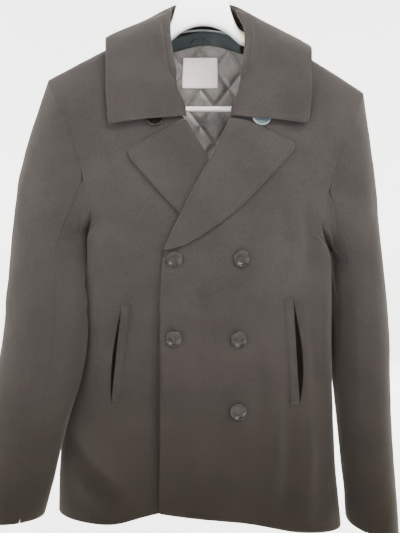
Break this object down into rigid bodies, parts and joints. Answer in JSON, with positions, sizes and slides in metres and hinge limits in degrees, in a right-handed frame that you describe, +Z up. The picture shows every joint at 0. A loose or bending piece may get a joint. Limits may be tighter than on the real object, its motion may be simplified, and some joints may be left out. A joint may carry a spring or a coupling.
{
  "type": "pea coat on a coat hanger",
  "caption": "Double-breasted wool pea coat with a wide folded collar, peaked lapels, slanted welt pockets and a quilted lining, hanging open-necked on a thick hanger with a trouser bar.",
  "frame": {"origin": "inner top of the hanger's hook, where a rail carries it", "axes": "+Z up, the coat's front faces -Y, and its left side as worn is at +X"},
  "size_m": [0.616, 0.2005, 0.9358],
  "materials": {
    "melton": "charcoal melton wool, matt, brushed nap",
    "lining": "grey satin, diamond quilted",
    "neck_facing": "dark plain twill",
    "label": "blank woven satin label",
    "button": "dark horn-like polyester, polished",
    "collar_button": "blue-grey polyester, polished",
    "hanger": "white moulded plastic",
    "trouser_bar": "pale grey moulded plastic",
    "hook": "plated wire"
  },
  "bodies": {
    "root": {"back_left": "melton", "back_right": "melton", "front_left": "melton", "front_right": "melton", "lapel_left": "melton", "lapel_right": "melton", "collar": "melton", "sleeve_under_left": "melton", "sleeve_upper_left": "melton", "sleeve_under_right": "melton", "sleeve_upper_right": "melton", "lining_back": "lining", "neck_band": "neck_facing", "label": "label", "hang_loop": "neck_facing", "pocket_welt_left": "melton", "pocket_welt_right": "melton", "button_1": "button", "button_2": "button", "button_3": "button", "button_4": "button", "button_5": "button", "button_collar_left": "collar_button", "button_collar_right": "collar_button", "button_side": "button", "hanger_body": "hanger", "trouser_bar": "trouser_bar", "hanger_hook": "hook"}
  },
  "joints": []
}
